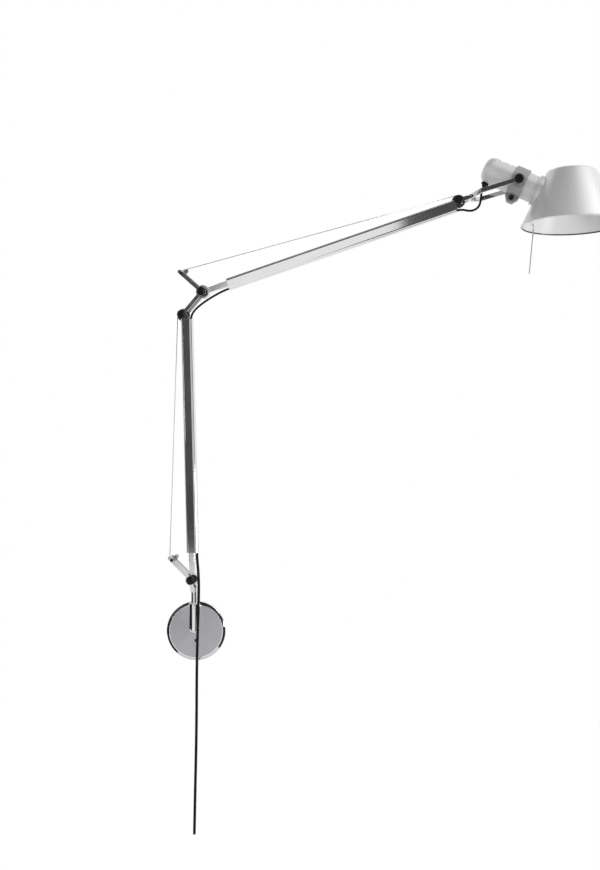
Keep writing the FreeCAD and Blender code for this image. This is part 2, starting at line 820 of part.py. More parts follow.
for word, x in (("lower", 0), ("upper", joint[0])):
    spot = ELBOW_FRAME * Placement(Vector(x, 0, 0), Rotation())
    axle(f"elbow_{word}_axle", spot, AXLE_LOW, AXLE_HIGH)
    knob(f"elbow_{word}_knob", spot, KNOB_FACE)
    nuts.append(nut_shape(spot, NUT_FACE))
shape_node("elbow_nuts", Part.makeCompound(nuts))

# ---------------------------------------------------------------- head link and swivel

reach, web = val("head_link_reach"), val("head_link_web")
link = new_body("head_link", LINK_FRAME)
for low, high in ((-PLATE_OUT, -PLATE_IN), (PLATE_IN, PLATE_OUT)):
    bar(link, (0, 0), (reach, 0), half, low, high)
    disc(link, 0, 0, "sizes.axle_eye", low, high)
yoke = sketch(link, "YZ_Plane", reach)
add_rounded(yoke, 2 * PLATE_OUT, val("link_width"), 1.5)
pad(link, yoke, web)
spigot = sketch(link, "YZ_Plane", reach + web)
add_circle(spigot, 0, 0, "sizes.spigot_radius")
RINGS = val("swivel_ring_depth")
FORK_BACK = reach + web + RINGS + 0.2
pad(link, spigot, RINGS + 0.2 + val("fork_strip") + 0.3)
bore(link, 0, 0, "sizes.axle_radius + sizes.running_gap", -PLATE_OUT - 1, PLATE_OUT + 1)
tapped = sketch(link, "YZ_Plane", reach + web + RINGS + 0.5 + val("fork_strip"))
add_circle(tapped, 0, 0, "sizes.stud_radius / 2 + sizes.running_gap")
pocket(link, tapped, 8)

washer = new_body("swivel_ring", LINK_FRAME)
washer_sketch = sketch(washer, "YZ_Plane", reach + web + 0.1)
add_circle(washer_sketch, 0, 0, "sizes.swivel_ring_radius")
add_circle(washer_sketch, 0, 0, "sizes.spigot_radius + sizes.running_gap")
pad(washer, washer_sketch, "sizes.swivel_ring_depth")

bolt = new_body("swivel_screw", LINK_FRAME)
bolt_start = FORK_BACK + val("fork_strip") + 0.3
bolt_sketch = sketch(bolt, "YZ_Plane", bolt_start)
add_circle(bolt_sketch, 0, 0, "sizes.swivel_ring_radius - 0.5")
pad(bolt, bolt_sketch, 2.6)
shank_sketch = sketch(bolt, "YZ_Plane", bolt_start - 6)
add_circle(shank_sketch, 0, 0, "sizes.stud_radius / 2")
pad(bolt, shank_sketch, 6)

axle("head_link_axle", LINK_FRAME, AXLE_LOW, AXLE_HIGH)
shape_node("head_link_nut", nut_shape(LINK_FRAME, NUT_FACE))
knob("head_link_knob", LINK_FRAME, KNOB_FACE)

# ---------------------------------------------------------------- fork

fork_tip = val("head_pivot_reach")
inner, strip, base = val("fork_inner"), val("fork_strip"), val("fork_base_half")
slope = FORK_BACK + val("fork_slant")
fork = new_body("head_fork", LINK_FRAME)
plan = sketch(fork, "XY_Plane", -val("fork_width") / 2)
outer_line = [
    (fork_tip, -inner - strip),
    (slope, -inner - strip),
    (FORK_BACK, -base),
    (FORK_BACK, base),
    (slope, inner + strip),
    (fork_tip, inner + strip),
]
inner_line = [
    (fork_tip, inner),
    (slope + strip * 0.5, inner),
    (FORK_BACK + strip, base - strip * 0.4),
    (FORK_BACK + strip, -base + strip * 0.4),
    (slope + strip * 0.5, -inner),
    (fork_tip, -inner),
]
add_loop(plan, outer_line + inner_line)
pad(fork, plan, "sizes.fork_width")
for low, high in ((-inner - strip, -inner), (inner, inner + strip)):
    disc(fork, fork_tip, 0, "sizes.fork_eye", low, high)
bore(fork, fork_tip, 0, "sizes.axle_radius + sizes.running_gap", -inner - strip - 1, inner + strip + 1)
crown_eye = sketch(fork, "YZ_Plane", FORK_BACK)
add_circle(crown_eye, 0, 0, "sizes.swivel_ring_radius")
pad(fork, crown_eye, "sizes.fork_strip")
eye = sketch(fork, "YZ_Plane", FORK_BACK + strip + 1)
add_circle(eye, 0, 0, "sizes.spigot_radius + sizes.running_gap")
pocket(fork, eye, strip + 2)

tilt_high = inner + strip
TILT_FRAME = LINK_FRAME * Placement(Vector(fork_tip, 0, 0), Rotation())
knob("tilt_knob", TILT_FRAME, -tilt_high - val("side_gap"))

# ---------------------------------------------------------------- head

sp, sr = val("head_pivot_back"), val("head_pivot_below")
hr, hw, hl = val("housing_radius"), val("housing_wall"), val("housing_length")
hc, collar_d = val("housing_rear_round"), val("collar_depth")
cr, cg = val("collar_radius"), val("collar_groove")
holder_r = val("holder_radius")

housing = new_body("head_housing", HEAD_FRAME)
half_section = sketch(housing, "XY_Plane")
lip = holder_r + val("running_gap")
groove_at = collar_d / 2
rear_arc = chords((-hl + hc, hr - hc), hc, 180, 90, 5)
front_rings = [
    (-collar_d, hr),
    (-collar_d, cr),
    (-groove_at - cg / 2, cr),
    (-groove_at - cg / 2, cr - 1.5),
    (-groove_at + cg / 2, cr - 1.5),
    (-groove_at + cg / 2, cr),
    (0, cr),
    (0, lip),
    (-collar_d, lip),
    (-collar_d, hr - hw),
]
rear_wall = [(-hl + hc, hr - hw), (-hl + hw, hr - hc), (-hl + hw, 0), (-hl, 0)]
add_loop(half_section, rear_arc + front_rings + rear_wall)
revolve(housing, half_section, "H_Axis")
half_vent = val("vent_width") / 2
for pair in (0, val("vent_pair_gap")):
    for pitch in (0, val("vent_pitch")):
        at = val("vent_from_rear") + pair + pitch - hl
        low, high = at - half_vent, at + half_vent
        vent = sketch(housing, "XY_Plane", hr + 1)
        add_loop(vent, [(low, -hr), (high, -hr), (high, hr), (low, hr)])
        pocket(housing, vent, "sizes.housing_radius + 1 - sizes.vent_floor")
gland_hole = sketch(housing, "XY_Plane", -hr - 1)
gx = val("gland_from_rear") - hl
add_circle(gland_hole, gx, 0, "sizes.gland_neck + sizes.running_gap")
cut = pocket(housing, gland_hole, 12)
cut.Reversed = True

ring_body = new_body("clamp_ring", HEAD_FRAME)
band = sketch(ring_body, "YZ_Plane", -sp - val("clamp_width") / 2)
add_circle(band, 0, 0, "sizes.housing_radius + sizes.clamp_wall")
pad(ring_body, band, "sizes.clamp_width")
ear_deep = val("clamp_ear_depth") / 2
drop, wide = val("clamp_ear_drop"), val("clamp_width") / 2
ears = sketch(ring_body, "XZ_Plane", -ear_deep)
add_loop(
    ears,
    [
        (-sp - wide, -hr + 4),
        (-sp - wide, -hr - 4),
        (-sp - 5, -drop),
        (-sp + 5, -drop),
        (-sp + wide, -hr - 4),
        (-sp + wide, -hr + 4),
    ],
)
pad(ring_body, ears, 2 * ear_deep)
for low, high in ((-inner + 0.3, -hr + 1), (hr - 1, inner - 0.3)):
    disc(ring_body, -sp, -sr, "sizes.tilt_boss_radius", low, high)
core = sketch(ring_body, "YZ_Plane", -sp - wide - 1)
add_circle(core, 0, 0, "sizes.housing_radius + sizes.running_gap")
core_cut = pocket(ring_body, core, 2 * wide + 2)
core_cut.Reversed = True
slit = sketch(ring_body, "YZ_Plane", -sp - wide - 1)
slit_half = val("clamp_slit") / 2
slit_top, slit_low = -hr + 3, -drop - 1
add_loop(
    slit,
    [(-slit_half, slit_top), (slit_half, slit_top), (slit_half, slit_low), (-slit_half, slit_low)],
)
slit_cut = pocket(ring_body, slit, 2 * wide + 2)
slit_cut.Reversed = True
bore(ring_body, -sp, -val("clamp_screw_drop"), "sizes.clamp_screw_radius + sizes.running_gap", -20, 20)
for low, high in ((-inner - 1, -hr - 0.8), (hr + 0.8, inner + 1)):
    bore(ring_body, -sp, -sr, "sizes.axle_radius + sizes.running_gap", low, high)

turned(
    "clamp_screw",
    HEAD_FRAME * Placement(Vector(-sp, 0, -val("clamp_screw_drop")), Rotation()),
    [
        (0, -ear_deep - 3),
        (val("clamp_screw_head") - 0.6, -ear_deep - 3),
        (val("clamp_screw_head"), -ear_deep - 2.4),
        (val("clamp_screw_head"), -ear_deep),
        (val("clamp_screw_radius"), -ear_deep),
        (val("clamp_screw_radius"), ear_deep),
        (val("clamp_screw_head"), ear_deep),
        (val("clamp_screw_head"), ear_deep + 2.6),
        (0, ear_deep + 2.6),
    ],
)
stub = []
AX = val("axle_radius")
for low, high in ((-tilt_high - 4.8, -hr - 0.9), (hr + 0.9, tilt_high + 3.2)):
    stub.append(Part.makeCylinder(AX, high - low, Vector(0, low, 0), Vector(0, 1, 0)))
cap_start = Vector(0, tilt_high + 0.3, 0)
head_cap = Part.makeCylinder(val("nut_radius"), val("nut_depth"), cap_start, Vector(0, 1, 0))
stub[1] = stub[1].fuse(head_cap).removeSplitter()
shape_node(
    "tilt_pins",
    Part.makeCompound([s.Solids[0] for s in stub]),
    HEAD_FRAME * Placement(Vector(-sp, 0, -sr), Rotation()),
)

gland = new_body("cable_gland", HEAD_FRAME)
gr = val("gland_radius")
gland_sketch = sketch(gland, "XZ_Plane")
add_loop(
    gland_sketch,
    [
        (gx + val("cable_radius") + 0.2, -hr + hw + 0.2),
        (gx + val("gland_neck"), -hr + hw + 0.2),
        (gx + val("gland_neck"), -hr - 0.1),
        (gx + gr, -hr - 0.1),
        (gx + gr, -hr - 2.5),
        (gx + gr - 2.5, -hr - 4),
        (gx + val("cable_radius") + 1.4, -hr - val("gland_length")),
        (gx + val("cable_radius") + 0.2, -hr - val("gland_length")),
    ],
)
gland_axis = sketch(gland, "XZ_Plane")
gland_axis.addGeometry(Part.LineSegment(Vector(gx, -hr, 0), Vector(gx, 0, 0)), False)
spin = gland.newObject("PartDesign::Revolution", "gland_turned")
spin.Profile = gland_sketch
spin.ReferenceAxis = (gland_axis, ["Edge1"])
spin.Angle = 360

holder = new_body("lamp_holder", HEAD_FRAME)
hs = sketch(holder, "XY_Plane")
hb, hd = val("holder_bore"), val("holder_bore_depth")
front, rear = val("holder_reach"), val("holder_back")
add_loop(
    hs,
    [
        (front, hb),
        (front, holder_r - 1),
        (front - 1, holder_r),
        (-rear, holder_r),
        (-rear - 12, 14),
        (-rear - 12, 0),
        (front - hd, 0),
        (front - hd, hb),
    ],
)
revolve(holder, hs, "H_Axis")

nut = new_body("shade_ring_nut", HEAD_FRAME)
ns = sketch(nut, "XY_Plane")
n0 = val("shade_wall") + 0.2
n1 = n0 + val("ring_nut_depth")
add_loop(ns, [(n0, lip), (n0, val("ring_nut_radius")), (n1, val("ring_nut_radius")), (n1, lip)])
revolve(nut, ns, "H_Axis")

# ---------------------------------------------------------------- reflector

shade = new_body("shade", SHADE_FRAME)
sh = sketch(shade, "XZ_Plane")
SR, SH, SW = val("shade_radius"), val("shade_height"), val("shade_wall")
cone = math.radians(val("head_angle"))
slant_wall = SW / math.cos(cone)


def cone_x(z, inset=0.0):
    return SR - z * TAN_SHADE - inset


def corner_middle(radius, top, inset):
    """The middle of the rounded corner between the cone's side and the flat top."""
    level = top - radius
    return cone_x(level, inset) - radius / math.cos(cone), level


slope_angle = val("head_angle")
bead, shoulder = val("shade_bead"), val("shade_corner")
outer_corner = chords(corner_middle(shoulder, SH, 0), shoulder, slope_angle, 90, 5)
inner_corner = chords(corner_middle(shoulder - SW, SH - SW, slant_wall), shoulder - SW, 90, slope_angle, 3)
hem_middle = (cone_x(bead, slant_wall / 2), bead)
side_line = 90 + slope_angle
meeting = math.degrees(math.asin(SW / 2 / bead))
hem = chords(hem_middle, bead, side_line + meeting, side_line - meeting + 360, 8)
add_loop(sh, hem + outer_corner + [(0, SH), (0, SH - SW)] + inner_corner)
revolve(shade, sh, "V_Axis")
# The flat seat for the lamp holder's collar, raised from the cone's side.
seat_tilt = Placement(
    Vector(-SEAT_X, 0, val("seat_height")),
    Rotation(Vector(0, 1, 0), 90 + val("head_angle")),
)
seat_sketch = sketch(shade, "XY_Plane", tilt=seat_tilt)
add_circle(seat_sketch, 0, 0, "sizes.seat_radius")
pad(shade, seat_sketch, "sizes.seat_depth")
hollow_sketch = sketch(shade, "XY_Plane", tilt=seat_tilt * Placement(Vector(0, 0, SW), Rotation()))
add_circle(hollow_sketch, 0, 0, "sizes.seat_radius - sizes.shade_wall")
hollow = pocket(shade, hollow_sketch, val("seat_depth") + 8)
hollow.Reversed = True
mouth_sketch = sketch(shade, "XY_Plane", tilt=seat_tilt * Placement(Vector(0, 0, -1), Rotation()))
add_circle(mouth_sketch, 0, 0, "sizes.holder_radius + sizes.side_gap")
mouth = pocket(shade, mouth_sketch, SW + 3)
mouth.Reversed = True

# ---------------------------------------------------------------- handle

# A bent rod hangs from a small sleeve on the inside of the reflector's rim.
rod_r = val("handle_rod_radius")
lean = val("handle_lean")
hook_high, hook_out = val("handle_hook_height"), val("handle_hook_reach")
inner_x = -cone_x(hook_high, slant_wall)
sleeve_angle = 18
root = (inner_x - 3, hook_high)
sleeve_end = step(root, val("handle_sleeve_length") + 3, sleeve_angle)
peak = step(root, hook_out * 0.62, sleeve_angle)
drop_top = (inner_x + hook_out, hook_high - 3)
tip = step(drop_top, val("handle_rod_length"), -90 - lean)
bend_points = [(x, 0, z) for x, z in (step(root, 4.6, sleeve_angle), peak, drop_top, tip)]
rod, rod_radii, rod_run, rod_ratio = tube_along(bend_points, rod_r)
shape_node("handle_rod", rod, SHADE_FRAME)

axis = Vector(sleeve_end[0] - root[0], 0, sleeve_end[1] - root[1])
sleeve = Part.makeCylinder(val("handle_sleeve_radius"), axis.Length, Vector(root[0], 0, root[1]), axis)
sleeve_hole = Part.makeCylinder(rod_r + 0.02, axis.Length, Vector(root[0], 0, root[1]), axis)
space = Part.makeCone(cone_x(0, slant_wall) - 0.05, cone_x(40, slant_wall) - 0.05, 40)
shape_node("handle_sleeve", sleeve.cut(sleeve_hole).common(space), SHADE_FRAME)

# ---------------------------------------------------------------- cables


def in_swing(place, x, z):
    """A point of a link's frame, in the arms' plane."""
    point = SWIVEL.inverse().multVec(place.multVec(Vector(x, 0, z)))
    return point.x, point.y, point.z


def cable(label, points, radius):
    solid, radii, length, ratio = tube_along(points, radius)
    shape_node(label, solid, SWIVEL)
    print(f"{label}: length {length:.1f}, radii {radii}, volume ratio {ratio:.4f}")


cz = -val("cable_offset")
cord_route = [
    in_swing(LOWER, low_start, cz),
    in_swing(LOWER, low_start - 12, cz),
    (8.8, -6.6, 114.0),
    (11.6, -12.6, 84.0),
    (10.9, -16.0, 36.0),
    (9.0, -18.0, -50.0),
    (9.0, -19.4, -165.0),
    (6.6, -20.3, -280.0),
    (5.2, -20.4, -352.0),
]
cable("mains_cord", cord_route, val("cord_radius"))
elbow_route = [
    in_swing(LOWER, low_finish, cz),
    in_swing(LOWER, low_finish + 8, cz),
    (4.6, 0, 587.2),
    (20.0, 0, 598.2),
    (38.0, 0, 608.8),
    in_swing(UPPER, up_start - 9, cz),
    in_swing(UPPER, up_start, cz),
]
cable("elbow_cable", elbow_route, val("cable_radius"))
gland_tip = -hr - val("gland_length")
head_route = [
    in_swing(UPPER, up_finish, cz),
    in_swing(UPPER, up_finish + 8, cz),
    (491.6, 0, 743.0),
    (504.6, 0, 750.2),
    (507.6, 0, 764.6),
    in_swing(HEAD_FRAME, gx, gland_tip - 7),
    in_swing(HEAD_FRAME, gx, gland_tip),
]
cable("head_cable", head_route, val("cable_radius"))

# ---------------------------------------------------------------- finish

doc.recompute()

NODES = [
    made
    for made in doc.Objects
    if made.TypeId in ("PartDesign::Body", "Part::Feature") and made.getParentGeoFeatureGroup() is None
]
for made in doc.Objects:
    if "Invalid" in made.State or "Error" in made.State:
        raise RuntimeError(f"{made.Label}: {made.State}")
for made in NODES:
    if made.Shape.isNull() or not made.Shape.isValid() or not made.Shape.Solids:
        raise RuntimeError(f"{made.Label}: no valid solid")

os.makedirs("parts", exist_ok=True)
for made in NODES:
    made.Shape.exportStep(os.path.join("parts", f"{made.Label}.step"))
print(len(NODES), "nodes")
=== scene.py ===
# %% [markdown]
# # An articulating wall lamp, dressed for its portrait
# The imported model gives every rigid piece in its true place. This lesson adds the finishes, the
# wires, the cables and the small turned details, and lights them as in a product photograph.
# We start by loading the model.

import json
import math

import bmesh
import bpy
from mathutils import Matrix, Vector


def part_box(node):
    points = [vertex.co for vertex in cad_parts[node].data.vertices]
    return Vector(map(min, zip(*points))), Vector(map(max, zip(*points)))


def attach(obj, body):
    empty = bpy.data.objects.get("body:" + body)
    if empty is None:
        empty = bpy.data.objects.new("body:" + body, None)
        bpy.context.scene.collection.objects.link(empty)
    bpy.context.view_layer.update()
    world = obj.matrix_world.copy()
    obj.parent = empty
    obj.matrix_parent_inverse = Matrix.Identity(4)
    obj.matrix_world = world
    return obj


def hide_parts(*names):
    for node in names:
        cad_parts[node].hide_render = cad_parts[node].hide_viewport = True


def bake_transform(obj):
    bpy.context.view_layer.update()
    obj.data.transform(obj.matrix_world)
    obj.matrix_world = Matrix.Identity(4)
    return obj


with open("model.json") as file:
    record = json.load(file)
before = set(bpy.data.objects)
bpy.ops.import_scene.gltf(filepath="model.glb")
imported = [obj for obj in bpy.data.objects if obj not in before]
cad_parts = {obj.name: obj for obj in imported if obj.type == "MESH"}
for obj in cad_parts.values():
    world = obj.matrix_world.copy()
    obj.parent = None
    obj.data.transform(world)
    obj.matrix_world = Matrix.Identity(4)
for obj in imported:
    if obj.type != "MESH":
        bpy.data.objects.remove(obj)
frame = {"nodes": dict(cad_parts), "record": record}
NODES = frame["nodes"]
STANDOFF, SWING = 0.040, math.radians(9)
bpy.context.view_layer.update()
MM = 0.001

# %% [markdown]
# ## Writing shaders as sums
# A shader graph is only arithmetic on sockets. A small class that wraps a socket lets us write
# `base * (1 - dust)` in Python and have the Math nodes appear by themselves.


# %% A socket that does arithmetic
class Term:
    """A value socket of a shader, with Python's operators adding Math nodes."""

    def __init__(self, shop, socket):
        self.shop = shop
        self.socket = socket

    def _math(self, operation, *values):
        return self.shop.node("ShaderNodeMath", {"operation": operation}, dict(enumerate(values)))

    def __add__(self, other):
        return self._math("ADD", self, other)

    def __radd__(self, other):
        return self._math("ADD", other, self)

    def __sub__(self, other):
        return self._math("SUBTRACT", self, other)

    def __rsub__(self, other):
        return self._math("SUBTRACT", other, self)

    def __mul__(self, other):
        return self._math("MULTIPLY", self, other)

    def __rmul__(self, other):
        return self._math("MULTIPLY", other, self)

    def __pow__(self, other):
        return self._math("POWER", self, other)

    def __lt__(self, other):
        return self._math("LESS_THAN", self, other)

    def __gt__(self, other):
        return self._math("GREATER_THAN", self, other)

    def spread(self, low, high, to_low=0.0, to_high=1.0):
        """The value's span from low to high, mapped on another span and clamped."""
        values = {0: self, 1: low, 2: high, 3: to_low, 4: to_high}
        return self.shop.node("ShaderNodeMapRange", {"clamp": True}, values)


class Finish:
    """A material whose nodes are made by one method."""

    def __init__(self, name):
        self.material = bpy.data.materials.new(name)
        self.material.use_nodes = True
        self.tree = self.material.node_tree
        self.shader = self.tree.nodes["Principled BSDF"]

    def node(self, kind, settings=None, values=None, out=0):
        """A new node: its settings, then a constant or a link on each named input."""
        made = self.tree.nodes.new(kind)
        for name, setting in (settings or {}).items():
            setattr(made, name, setting)
        for name, value in (values or {}).items():
            socket = made.inputs[name]
            if isinstance(value, Term):
                self.tree.links.new(value.socket, socket)
            else:
                socket.default_value = value
        return Term(self, made.outputs[out])

    def place(self, centre=(0, 0, 0)):
        """Object coordinates, measured from a centre."""
        where = self.node("ShaderNodeTexCoord", out="Object")
        settings = {"operation": "SUBTRACT"}
        return self.node("ShaderNodeVectorMath", settings, {0: where, 1: centre})

    def split(self, where):
        """The three parts of a vector, each with arithmetic of its own."""
        parts = self.node("ShaderNodeSeparateXYZ", None, {"Vector": where}).socket.node.outputs
        return [Term(self, part) for part in parts]

    def measure(self, where, axis):
        """How far a point lies along an axis."""
        settings = {"operation": "DOT_PRODUCT"}
        return self.node("ShaderNodeVectorMath", settings, {0: where, 1: axis}, "Value")

    def streaks(self, where, along, fine, long):
        """Coordinates that are drawn out along one direction."""
        across = Vector(along).cross(Vector((0, 0, 1))).normalized()
        up = across.cross(Vector(along))
        x = self.measure(where, tuple(along)) * long
        y = self.measure(where, tuple(across)) * fine
        z = self.measure(where, tuple(up)) * fine
        return self.node("ShaderNodeCombineXYZ", None, {0: x, 1: y, 2: z})

    def noise(self, where, scale, detail=3.0, rough=0.5):
        values = {"Vector": where, "Scale": scale, "Detail": detail, "Roughness": rough}
        return self.node("ShaderNodeTexNoise", None, values)

    def spray_tone(self, where, drift, grain):
        """A slow drift of the tone and the fine flake of the pigment, together 0 to 1."""
        flake = self.noise(where, grain, 2.0, 0.7)
        return drift.spread(0.3, 0.7, 0.0, 0.6) + flake.spread(0.3, 0.7, 0.0, 0.4)

    def blend(self, amount, first, second):
        """A colour between two colours."""
        settings = {"data_type": "RGBA"}
        values = {"Factor": amount, 6: first, 7: second}
        return self.node("ShaderNodeMix", settings, values, out=2)

    def set(self, **values):
        """Constants or links on the shader's own sockets, such as Base_Color=..."""
        for name, value in values.items():
            socket = self.shader.inputs[name.replace("_", " ")]
            if isinstance(value, Term):
                self.tree.links.new(value.socket, socket)
            else:
                socket.default_value = value

    def bump(self, height, strength, distance):
        """A surface relief from a height between 0 and 1."""
        values = {"Height": height, "Strength": strength, "Distance": distance}
        self.set(Normal=self.node("ShaderNodeBump", None, values))


def grey(level, tint=(1.0, 1.0, 1.0)):
    """A linear colour from a screen grey of 0 to 255."""
    part = level / 255
    linear = part / 12.92 if part <= 0.04045 else ((part + 0.055) / 1.055) ** 2.4
    return (linear * tint[0], linear * tint[1], linear * tint[2], 1.0)


# %% [markdown]
# ## The finishes
# The rose, the housing and the clamp are sprayed in a satin silver grey. A sprayed coat is never
# quite even: it has a fine orange peel in its relief, and its sheen changes a little from place
# to place. Both come from noise on the object's own coordinates, so they stay put as it turns.

# %% Sprayed metal
SPRAY_TINT, SHEET_TINT, ROSE_TINT = (1.0, 0.995, 1.0), (1.0, 0.99, 0.995), (0.98, 0.97, 1.03)


def sprayed(name, level, rough, metallic):
    made = Finish(name)
    where = made.place()
    drift = made.noise(where, 28.0, 4.0)
    low, high = grey(level - 4, SPRAY_TINT), grey(level + 4, SPRAY_TINT)
    made.set(
        Base_Color=made.blend(made.spray_tone(where, drift, 1400.0), low, high),
        Metallic=metallic,
        Roughness=drift.spread(0.3, 0.7, rough - 0.04, rough + 0.05),
        Coat_Weight=0.25,
        Coat_Roughness=0.22,
    )
    made.bump(made.noise(where, 420.0, 2.0), 0.05, 0.0006)
    return made.material


# %% [markdown]
# The arm tubes are drawn aluminium: the die leaves hair lines along the tube, and the anodising
# takes off little of the shine. The noise is stretched along the tube, so the lines run with it.


# %% Drawn aluminium
def drawn(name, level, rough, angle):
    """Bright anodised alloy with hair lines along a direction in the arms' plane."""
    made = Finish(name)
    rise = math.radians(angle)
    flat = math.cos(rise)
    along = Vector((flat * math.cos(SWING), -flat * math.sin(SWING), math.sin(rise)))
    where = made.place()
    hair = made.noise(made.streaks(where, along, 2600.0, 6.0), 1.0, 3.0, 0.6)
    cloud = made.noise(where, 12.0, 3.0)
    tone = hair.spread(0.35, 0.65, 0.0, 0.5) + cloud.spread(0.35, 0.65, 0.0, 0.5)
    tint = (1.0, 0.988, 0.995)
    made.set(
        Base_Color=made.blend(tone, grey(level - 4, tint), grey(level + 4, tint)),
        Metallic=1.0,
        Roughness=cloud.spread(0.3, 0.7, rough - 0.02, rough + 0.03),
    )
    return made.material


# %% Polished, plated and plain metals
def polished(name, level, rough):
    """Polished metal: almost a mirror, with a breath of haze."""
    made = Finish(name)
    haze = made.noise(made.place(), 60.0, 4.0)
    made.set(
        Base_Color=made.blend(haze.spread(0.3, 0.7), grey(level - 6), grey(level)),
        Metallic=1.0,
        Roughness=haze.spread(0.35, 0.7, rough, rough + 0.05),
    )
    return made.material


def plated(name, level, rough, tint=(1.0, 1.0, 1.0)):
    """Zinc plated steel with fine tool marks."""
    made = Finish(name)
    where = made.place()
    marks = made.noise(where, 700.0, 3.0)
    stain = made.noise(where, 90.0, 3.0)
    made.set(
        Base_Color=made.blend(stain.spread(0.3, 0.7), grey(level - 14, tint), grey(level, tint)),
        Metallic=1.0,
        Roughness=marks.spread(0.3, 0.7, rough - 0.05, rough + 0.08),
    )
    made.bump(marks, 0.06, 0.0003)
    return made.material


# %% [markdown]
# The knobs, the gland and the cables' sheaths are moulded in black: a fine grain scatters the
# light, and handling leaves some places smoother. Nylon and porcelain follow the same recipe.


# %% Moulded plastic, rubber sheath and porcelain
def moulded(name, level, rough, grain=900.0, gloss=0.5):
    """A dielectric with a fine grain; gloss is the strength of its clear reflection."""
    made = Finish(name)
    where = made.place()
    fine = made.noise(where, grain, 3.0, 0.6)
    worn = made.noise(where, 70.0, 4.0)
    made.set(
        Base_Color=made.blend(worn.spread(0.3, 0.7), grey(level), grey(level + 7)),
        Roughness=worn.spread(0.3, 0.7, rough - 0.05, rough + 0.06),
        Specular_IOR_Level=gloss,
    )
    made.bump(fine, 0.08, 0.0003)
    return made.material


GREY_PAINT = sprayed("satin_grey_spray", 200, 0.40, 0.35)
# painted shade: the clamp ring gets a darker copy of the satin grey spray, standing in for the
# shade on its ear
SHADED_CLAMP_SPRAY = sprayed("cast_clamp_spray", 150, 0.46, 0.45)
LOWER_ALLOY = drawn("lower_tube_alloy", 226, 0.07, 91)
UPPER_ALLOY = drawn("upper_tube_alloy", 226, 0.07, 17)
END_ALLOY = polished("machined_alloy", 224, 0.13)
LINK_ALLOY = polished("polished_link_alloy", 216, 0.08)
BRIGHT = polished("polished_chrome", 226, 0.06)
STEEL = plated("zinc_steel", 178, 0.34)
BLACK_SCREW = plated("blackened_screw", 70, 0.4)
SPRING_STEEL = plated("spring_wire_steel", 168, 0.3)
WIRE_STEEL = plated("stranded_wire_steel", 214, 0.36)
BLACK_KNOB = moulded("black_moulding", 12, 0.36, 900.0, 0.18)
PULLEY_NYLON = moulded("pulley_nylon", 44, 0.5)
CORD_SHEATH = moulded("black_sheath", 12, 0.5, 500.0, 0.15)
BUSH_NYLON = moulded("bush_nylon", 214, 0.42)
CERAMIC = moulded("glazed_porcelain", 226, 0.2, 200.0)
SOCKET_BRASS = plated("socket_brass", 196, 0.28, (1.0, 0.82, 0.5))

# %% [markdown]
# The reflector is one spun sheet, but it shows two faces: lacquered silver grey outside and bright
# inside. Along the inner side of the rolled hem a dark line is painted: painted shade and a painted
# reflection of the dark room, not a colour of the metal. Which face a point is on follows from its
# distance to the cone's axis, so one material tells them apart without cutting the sheet in two.

# %% The two-faced sheet of the reflector
RIM_RADIUS, SHEET, HEM_RISE, SEAT_RISE = 0.085, 0.0012, 0.0026, 0.0931
CONE_SLOPE = math.tan(math.radians(25.5))
low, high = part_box("shade")
RIM_CENTRE = Vector((high.x - RIM_RADIUS, (low.y + high.y) / 2, low.z))
print("rim centre", RIM_CENTRE)


def reflector_finish():
    made = Finish("spun_reflector")
    where = made.place(tuple(RIM_CENTRE))
    x, y, z = made.split(where)
    radius = (x * x + y * y) ** 0.5
    wall_middle = RIM_RADIUS - SHEET * 0.62 - z * CONE_SLOPE
    inside = (radius < wall_middle) * (z < SEAT_RISE)
    tone = made.spray_tone(where, made.noise(where, 20.0, 4.0), 1600.0)
    outer = made.blend(tone, grey(205, SHEET_TINT), grey(212, SHEET_TINT))
    inner = made.blend(tone, grey(216), grey(223))
    # painted shade: the inner side of the rolled hem is painted dark, standing in for shade and a
    # dark reflection
    painted_hem_shade = (z < HEM_RISE) * (radius < RIM_RADIUS - 0.0016 - z * CONE_SLOPE)
    sheet = made.blend(inside, outer, inner)
    made.set(
        Base_Color=made.blend(painted_hem_shade, sheet, grey(70)),
        Metallic=0.5 * (1 - inside) * (1 - painted_hem_shade) + painted_hem_shade * 0.9,
        Roughness=0.36 + inside * 0.1 - painted_hem_shade * 0.1,
        Coat_Weight=0.2,
        Coat_Roughness=0.25,
    )
    made.bump(made.noise(where, 380.0, 2.0), 0.04, 0.0005)
    return made.material


REFLECTOR = reflector_finish()

# %% [markdown]
# The rose is one pressing too: its face is sprayed, and its bevel is left as bright metal that
# mirrors the room. The pins carry a black cap at each end, outside the levers. Both are told
# apart by distance as well, from the rose's axis and from the arms' plane.


# %% The rose's bright bevel and the pins' black caps
FACE_RADIUS, LEVER_OUTSIDE = 0.048, 0.01085


def rose_finish():
    made = Finish("rose_spray_and_bevel")
    where = made.place()
    x, _, z = made.split(where)
    bevel = (x * x + z * z) ** 0.5 > FACE_RADIUS
    flake = made.noise(where, 1400.0, 2.0, 0.7)
    face = made.blend(flake.spread(0.3, 0.7), grey(171, ROSE_TINT), grey(178, ROSE_TINT))
    made.set(
        Base_Color=made.blend(bevel, face, grey(232)),
        Metallic=0.25 + bevel * 0.75,
        Roughness=0.42 - bevel * 0.34,
    )
    made.bump(made.noise(where, 420.0, 2.0), 0.03, 0.0004)
    return made.material


def pin_finish():
    made = Finish("pin_and_caps")
    where = made.place((0, -STANDOFF, 0))
    depth = made.measure(where, (math.sin(SWING), math.cos(SWING), 0))
    cap = (depth * depth) ** 0.5 > LEVER_OUTSIDE
    haze = made.noise(where, 60.0, 4.0).spread(0.3, 0.7)
    made.set(
        Base_Color=made.blend(cap, made.blend(haze, grey(206), grey(216)), grey(14)),
        Metallic=1 - cap,
        Roughness=0.14 + cap * 0.2,
    )
    return made.material


